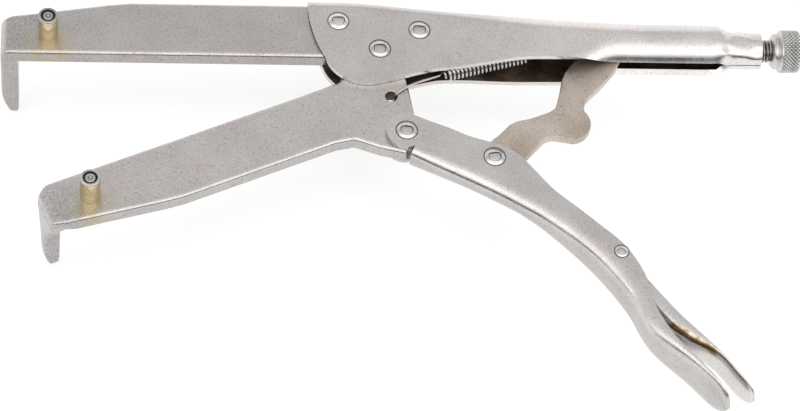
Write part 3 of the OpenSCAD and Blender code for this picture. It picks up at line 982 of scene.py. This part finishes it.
def channel_row(station, corner, thickness, web=True):
    """Outside of a channel at a station, from the near to the far flange."""
    bx, by, ex, ey, width = station
    back, edge = Vector((bx, by)), Vector((ex, ey))
    rise = max((edge - back).length, thickness + 0.02)
    up = (edge - back).normalized()
    bend_up = min(corner, rise) if web else 0
    bend_in = min(corner, width * 0.96) if web else 0
    half = [(mix(rise, bend_up, k / FLAT_STEPS), width) for k in range(FLAT_STEPS + 1)]
    for k in range(1, FOLD_STEPS + 1):
        b = pi / 2 * k / FOLD_STEPS
        half.append((bend_up * (1 - sin(b)), width - bend_in * (1 - cos(b))))
    for k in range(1, FLAT_STEPS + 1):
        half.append((0, mix(width - bend_in, 0, k / FLAT_STEPS)))
    both = [(h, Z_MID + s) for h, s in half] + [(h, Z_MID - s) for h, s in half[-2::-1]]
    row = [(back.x + up.x * h, back.y + up.y * h, z) for h, z in both]
    if not web:
        for k in range(FLAT_STEPS + 1, len(row) - FLAT_STEPS - 1):
            row[k] = None
    return row


def round_tail(stations, radius):
    """Narrow the last stations so that the tail ends in a half circle."""
    tip = Vector(stations[-1][:2])
    result = []
    for s in stations:
        left = (tip - Vector(s[:2])).length
        width = s[4]
        if left < radius:
            width = min(width, radius * sqrt(max(1 - (1 - left / radius) ** 2, 0.002)))
        result.append((*s[:4], width))
    return result


def from_middle(point):
    """The way out of a channel at a point of its flange."""
    return Vector((0, 0, point.z - Z_MID))


def make_lever():
    lows = arc(LEVER_PIVOT, EAR_R, 153, 274, 22)
    highs = arc(LEVER_PIVOT, EAR_R, 147, 60, 16)
    ear_top, top_end = highs[-1], LEVER_ROWS[0][2:4]
    for k in range(1, 7):
        highs.append((mix(ear_top[0], top_end[0], k / 7), mix(ear_top[1], top_end[1], k / 7)))
    ear = [(*low, *high, CHEEK_W) for low, high in zip(lows, highs)]
    rows = [channel_row(s, 0, SHEET_T, web=False) for s in ear]
    shank = round_tail(smooth_rows(LEVER_ROWS, 5), GRIP_W)
    web_x = LEVER_ROWS[0][0]
    for s in shank:
        corner = value_at(s[0], LEVER_CORNERS)
        rows.append(channel_row(s, corner, SHEET_T, web=s[0] >= web_x))
    piece = sheet_piece("lever_shell", rows, SHEET_T, from_middle)
    place(piece, LEVER, "nickel_sheet", [sheet_metal, sheet_metal], "lever_handle")


def make_release():
    stations = round_tail(smooth_rows(RELEASE_ROWS, 6), RELEASE_W)
    rows = [channel_row(s, RELEASE_CORNER, RELEASE_T) for s in stations]
    piece = sheet_piece("release_shell", rows, RELEASE_T, from_middle)
    place(piece, RELEASE, "nickel_sheet", [release_metal, release_metal], "release_lever")


# ---- Turned pieces ----


def ring_faces(rings, sides):
    """Faces that join rings of points, one after another, and close both ends."""
    faces = []
    for i in range(rings - 1):
        base, above = i * sides, (i + 1) * sides
        for k in range(sides):
            m = (k + 1) % sides
            faces.append((base + k, base + m, above + m, above + k))
    last = (rings - 1) * sides
    return faces + [tuple(range(sides))[::-1], tuple(range(last, last + sides))]


def lathe(profile, segments, centre, axis="Z", wobble=None):
    """Points and faces of a closed turned shape from (radius, height) pairs."""
    verts = []
    for r, h in profile:
        for k in range(segments):
            a = 2 * pi * k / segments
            radius, height = wobble(r, h, a) if wobble else (r, h)
            across, up = radius * cos(a), radius * sin(a)
            point = (height, across, up) if axis == "X" else (across, up, height)
            verts.append(Vector(point) + Vector(centre))
    return verts, ring_faces(len(profile), segments)


def dome_profile(radius, height, base, steps, sign):
    """Spherical cap from its rim to its middle, upwards (1) or downwards (-1)."""
    ball = (radius**2 + height**2) / (2 * height)
    rim = asin(radius / ball)
    points = []
    for k in range(steps + 1):
        a = rim * (1 - k / steps)
        points.append((max(ball * sin(a), 0.02), base + sign * (ball * cos(a) - ball + height)))
    return points


# Radius, distance of the flat side and width of the wall of the dent in a rivet
# head, as shares of the radius of the head.
DENT_R = 0.62
DENT_FLAT = 0.32
DENT_WALL = 0.12


def make_rivet(name, node, radius, height, turn):
    """Rivet with domed heads, the front one dented, with its dent turned by an angle."""
    low, high = box_mm(node)
    dent = height / 2
    centre = (low + high) / 2
    front, back = high.z - height, low.z + height
    lip = 0.25
    shadow_ring = 0.25

    def pressed_share(r, a):
        """1 in the D-shaped dent of the head and 0 around it."""
        x, y = r * cos(a - turn) / radius, r * sin(a - turn) / radius
        side = ease((DENT_R - hypot(x, y + 0.05)) / DENT_WALL)
        return side * ease((DENT_FLAT - y) / DENT_WALL)

    def pressed(r, h, a):
        return (r, h - dent * pressed_share(r, a)) if h >= front else (r, h)

    profile = dome_profile(radius - lip, height, back, 6, -1)[::-1]
    profile += [(radius, back - 0.1), (radius, back + 0.15), (radius * 0.6, back + 0.15)]
    # Outside the front head a thin ring is added, painted dark as a shadow around the head.
    profile += [(radius * 0.6, front - 0.15), (radius + shadow_ring, front - 0.15)]
    profile += [(radius + shadow_ring, front + 0.04), (radius - 0.05, front + 0.04)]
    profile += dome_profile(radius - lip, height, front, 30, 1)
    piece = closed_object(name, *lathe(profile, 72, (centre.x, centre.y, 0), wobble=pressed))
    # The lip and the ring around the front head are painted dark as its shadow.
    paint(piece, centre, 1, lambda at: at.xy.length > radius - lip and at.z > front - 0.2)
    # The walls of the dent get a dark colour as painted shade.
    wall = lambda at: 0.06 < pressed_share(at.xy.length, atan2(at.y, at.x)) < 0.95
    paint(piece, centre, 2, lambda at: at.z > front and wall(at))
    even_normals(piece)
    return piece


# Radius and height of the two sizes of rivet head.
LARGE_HEAD = (4.4, 1.7)
SMALL_HEAD = (2.9, 0.9)


def make_rivets():
    rivets = [
        ("head_front_jaw", "front_jaw_rivet", HANDLE, LARGE_HEAD, 0.0),
        ("head_rear_jaw", "rear_jaw_rivet", HANDLE, LARGE_HEAD, -0.1),
        ("head_jaw_pivot", "jaw_pivot_rivet", HANDLE, LARGE_HEAD, 0.05),
        ("head_lever_pivot", "lever_pivot_rivet", LEVER, LARGE_HEAD, -0.1),
        ("head_link", "link_rivet", LEVER, LARGE_HEAD, 0.1),
        ("head_release", "release_rivet", LEVER, SMALL_HEAD, -0.6),
    ]
    for name, node, body, head, turn in rivets:
        piece = make_rivet(name, node, *head, turn)
        place(piece, body, "rivet_steel", [rivet_metal, gap_shade_metal, dent_shade_metal], node)


def make_pin(prefix, body):
    sleeve_node, stud_node = prefix + "_sleeve", prefix + "_stud"
    low, high = box_mm(sleeve_node)
    centre = (low + high) / 2
    r = (high.x - low.x) / 2
    foot, top = low.z, high.z
    bore = 2.75
    profile = [
        (bore, foot), (r, foot), (r, top - 0.8), (r - 0.05, top - 0.4), (r - 0.2, top - 0.15),
        (r - 0.45, top), (bore + 0.35, top), (bore + 0.1, top - 0.12), (bore, top - 0.4),
    ]
    verts, faces = lathe(profile + profile[:1], 64, (centre.x, centre.y, 0))
    piece = closed_object(prefix + "_tube", verts, faces[:-2])
    paint(piece, centre, 1, lambda at: at.z > top - 0.3)
    # The bore is painted dark as shade in the gap around the stud.
    paint(piece, centre, 2, lambda at: at.xy.length < bore + 0.3)
    even_normals(piece)
    place(piece, body, "yellow_zinc", [sleeve_metal, stud_metal, gap_shade_metal], sleeve_node)

    stud_low, stud_high = box_mm(stud_node)
    tip, nose = stud_high.z, 2.15
    profile = [
        (0.02, stud_low.z), (2.3, stud_low.z), (bore, stud_low.z + 0.4), (bore, tip - 1.25),
        (bore - 0.1, tip - 1.2), (nose + 0.1, tip - 1.2), (nose, tip - 1.1), (nose, tip - 0.2),
        (nose - 0.15, tip), (1.05, tip), (0.95, tip - 0.12), (0.8, tip - 0.12), (0.7, tip),
        (0.45, tip), (0.3, tip - 0.25), (0.02, tip - 0.5),
    ]
    piece = closed_object(prefix + "_core", *lathe(profile, 64, (centre.x, centre.y, 0)))
    # The groove round the nose and a small ring at the tip are painted dark as shade.
    paint(piece, centre, 1, lambda at: at.xy.length > nose and at.z > tip - 1.3)
    paint(piece, centre, 1, lambda at: 0.7 < at.xy.length < 1.05 and at.z > tip - 0.3)
    even_normals(piece)
    place(piece, body, "bare_steel", [stud_metal, gap_shade_metal], stud_node)


def finish_spacers():
    """The washers beside the toggle link keep their CAD shape and get a turned metal."""
    for node in ("link_spacer_front", "link_spacer_rear"):
        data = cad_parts[node].data
        data.materials.clear()
        data.materials.append(stud_metal)


# ---- Screw and knob ----

PITCH = 1.5
SPIGOT_R = 3.5


def make_screw():
    low, high = box_mm("adjusting_screw")
    crest = THREAD_R
    root = crest - THREAD_DEPTH
    thread_end = box_mm("screw_knob")[0].x + 0.6

    def threaded(r, h, a):
        if r < root:
            return r, h
        turn = (h / PITCH - a / (2 * pi)) % 1
        flank = clamp((abs(turn - 0.5) - 0.07) / 0.36)
        return min(r, mix(crest, root, flank)), h

    profile = [(0.02, low.x), (crest - 1.2, low.x)]
    step = PITCH / 8
    for k in range(int((thread_end - low.x - 1) / step)):
        profile.append((min(crest, crest - 1 + k * step), low.x + k * step))
    profile += [(SPIGOT_R, thread_end), (SPIGOT_R, high.x), (0.02, high.x)]
    verts, faces = lathe(profile, 48, (0, SCREW_Y, Z_MID), axis="X", wobble=threaded)
    piece = closed_object("screw_thread", verts, faces)
    place(piece, SCREW, "bare_steel", [thread_metal], "adjusting_screw")


KNURL_COUNT = 34


def make_knob():
    start = box_mm("screw_knob")[0].x
    radius = KNOB_R
    knurl_from, knurl_to = 4.1, 11.3

    def knurled(r, h, a):
        along = h - start
        if r < radius - 0.3 or not knurl_from < along < knurl_to:
            return r, h
        step = 2 * pi * radius / KNURL_COUNT
        groove = 0
        for lean in (1, -1):
            turn = (a * radius / step + lean * (along - knurl_from) / step) % 1
            groove = max(groove, clamp(1 - abs(turn - 0.5) / 0.28))
        fade = min(ease((along - knurl_from) / 0.3), ease((knurl_to - along) / 0.3))
        return r - KNURL_DEPTH * groove * fade, h

    profile = [
        (3.6, 9.3), (3.6, 0.1), (5.2, 0.1), (6.5, 0.4), (7.1, 0.9), (7.5, 1.5), (7.6, 2),
        (7.5, 2.4), (7.2, 2.7), (7.15, 2.9), (7.7, 3.1), (radius - 0.7, 3.3),
        (radius - 0.25, 3.6), (radius, knurl_from),
    ]
    rows = 44
    profile += [(radius, mix(knurl_from, knurl_to, k / rows)) for k in range(1, rows)]
    profile += [
        (radius, knurl_to), (radius - 0.35, 11.7), (radius - 1, 12.1), (radius - 2.4, 12.6),
        (radius - 4, 12.8), (3, 12.8), (0.02, 12.8),
    ]
    profile = [(r, start + h) for r, h in profile]
    verts, faces = lathe(profile, KNURL_COUNT * 9, (0, SCREW_Y, Z_MID), axis="X", wobble=knurled)
    piece = closed_object("knurled_knob", verts, faces)
    paint(piece, (start, 0), 1, lambda at: knurl_from < at.x < knurl_to)
    even_normals(piece)
    place(piece, KNOB, "knurled_steel", [knob_metal, knurl_metal], "screw_knob")


# ---- Return spring ----

COIL_R = 2.9
WIRE_R = 0.52
COIL_TURNS = 21
TURN_STEPS = 24
COIL_START = Vector((162.4, -14.9, Z_MID))
COIL_END = Vector((197.5, -5.2, Z_MID))
SPRING_POST = Vector((205, -3.4, Z_MID))
# Bends of the wire, counted from the hole, the start of the coil and the post.
HOLE_HOOK = [
    (1.2, 0.5, -5.5), (1.4, 0.6, -2.5), (1.8, 0.8, -0.4), (3, 1.5, 0.7), (6, 3.7, 0.9),
    (11.5, 7, 0.2),
]
COIL_LEAD = [(-6, -3.6, 1.6), (-1.5, -0.9, 0.2)]
POST_LOOP = [(-3.2, 1.8), (1, 1.8), (2.2, 1.2), (2.6, 0), (2, -1.6), (0, -2.1), (-1.8, -1.2)]


def spring_path():
    """Middle line of the wire, from the hole in the lower arm to the post."""
    axis = (COIL_END - COIL_START).normalized()
    side = Vector((-axis.y, axis.x, 0))
    steps = COIL_TURNS * TURN_STEPS
    coil = []
    for k in range(steps + 1):
        a = 2 * pi * k / TURN_STEPS
        out = min(1, 0.3 + k / TURN_STEPS / 2, (steps - k) / TURN_STEPS * 2)
        offset = side * (COIL_R * out * cos(a)) + Vector((0, 0, COIL_R * out * sin(a)))
        coil.append(COIL_START.lerp(COIL_END, k / steps) + offset)
    front = [Vector((*SPRING_HOLE, 0)) + Vector(p) for p in HOLE_HOOK]
    front += [COIL_START + Vector(p) for p in COIL_LEAD]
    back = [COIL_END + axis * 2] + [SPRING_POST + Vector((x, y, 0.6)) for x, y in POST_LOOP]
    hooks = [[Vector(p) for p in smooth_rows(hook, 5)] for hook in (front, back)]
    return hooks[0] + coil + hooks[1]


def tube_along(path, radius, sides):
    """Closed tube along a path, with its rings turned as little as possible."""
    verts = []
    normal = Vector((0, 0, 1))
    for i, p in enumerate(path):
        along = (path[min(i + 1, len(path) - 1)] - path[max(i - 1, 0)]).normalized()
        normal = (normal - along * normal.dot(along)).normalized()
        across = along.cross(normal)
        for k in range(sides):
            a = 2 * pi * k / sides
            verts.append(p + (normal * cos(a) + across * sin(a)) * radius)
    return verts, ring_faces(len(path), sides)


def make_spring():
    piece = closed_object("coil_spring", *tube_along(spring_path(), WIRE_R, 10))
    piece.data.materials.append(spring_metal)
    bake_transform(piece)
    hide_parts("return_spring")


# ---- Floor, light and camera ----


def make_floor():
    size = 3.0
    gap = 0.0005
    level = CAD_BOX[0][2] - gap
    mesh = bpy.data.meshes.new("floor")
    corners = [(x * size, y * size, level) for x, y in ((-1, -1), (1, -1), (1, 1), (-1, 1))]
    mesh.from_pydata(corners, [], [(0, 1, 2, 3)])
    floor = add_object("floor", mesh)
    glow = {"Emission Color": (1, 1, 1, 1), "Emission Strength": 0.72}
    s = Shader("pale_floor", **{"Roughness": 0.9, "Specular IOR Level": 0.0, **glow})
    cloudy = s.blend(s.noise(3, 2), (0.28, 0.28, 0.28), (0.3, 0.3, 0.3))
    s.link(cloudy, s.surface.inputs["Base Color"])
    mesh.materials.append(s.material)


# Brightness of the studio by the angle from straight up, in degrees, with
# the side beyond the pliers positive.
STUDIO = [
    (-115, 0.4), (-98, 0.05), (-72, 0.05), (-63, 0.9), (-54, 1.65), (-30, 1.7), (-12, 1.12),
    (4, 0.86), (24, 0.76), (42, 0.75), (50, 0.6), (60, 0.85), (74, 1.1), (90, 1.15), (115, 0.8),
]


def make_studio():
    world = bpy.data.worlds.new("studio")
    bpy.context.scene.world = world
    world.use_nodes = True
    nodes, links = world.node_tree.nodes, world.node_tree.links
    split = nodes.new("ShaderNodeSeparateXYZ")
    links.new(nodes.new("ShaderNodeTexCoord").outputs["Generated"], split.inputs[0])
    angle = nodes.new("ShaderNodeMath")
    angle.operation = "ARCTAN2"
    links.new(split.outputs["Y"], angle.inputs[0])
    links.new(split.outputs["Z"], angle.inputs[1])
    share = set_inputs(nodes.new("ShaderNodeMapRange"), {"From Min": -pi, "From Max": pi})
    links.new(angle.outputs[0], share.inputs["Value"])
    ramp = nodes.new("ShaderNodeValToRGB")
    stops = ramp.color_ramp.elements
    for degrees_up, level in STUDIO:
        stops.new(0.5 + degrees_up / 360).color = (level / 2, level / 2, level / 2, 1)
    # The two stops that a new ramp starts with are at its ends.
    stops.remove(stops[-1])
    stops.remove(stops[0])
    links.new(share.outputs["Result"], ramp.inputs["Fac"])
    links.new(ramp.outputs["Color"], nodes["Background"].inputs["Color"])
    nodes["Background"].inputs["Strength"].default_value = 2.0


def make_light():
    light = bpy.data.lights.new("overhead", "AREA")
    light.shape = "RECTANGLE"
    light.size = 1.6
    light.size_y = 1.2
    light.energy = 14
    lamp = add_object("overhead", light)
    lamp.location = (0.1, 0.1, 1.6)
    lamp.visible_glossy = False


def make_camera():
    """Camera above the near side, turned a little, as a long lens sees it."""
    target = Vector((0.1412, -0.0822, 0))
    distance = 1.2
    side, height, roll = radians(-10.24), radians(56.67), radians(9.12)
    back = Vector((cos(height) * sin(side), -cos(height) * cos(side), sin(height)))
    level = Vector((-back.y, back.x, 0)).normalized()
    raised = back.cross(level)
    right = level * cos(roll) + raised * sin(roll)
    up = back.cross(right)
    data = bpy.data.cameras.new("camera")
    data.lens = 135
    data.sensor_width = 36
    data.clip_start = 0.01
    camera = add_object("camera", data)
    turn = Matrix((right, up, back)).transposed()
    camera.matrix_world = Matrix.LocRotScale(target + back * distance, turn, None)
    bpy.context.scene.camera = camera


make_camera()
make_arms()
make_link()
make_handle()
make_lever()
make_release()
make_rivets()
make_pin("upper_pin", HANDLE)
make_pin("lower_pin", JAW)
make_screw()
make_knob()
make_spring()
finish_spacers()
make_floor()
make_studio()
make_light()
bpy.context.scene.view_settings.view_transform = "Standard"
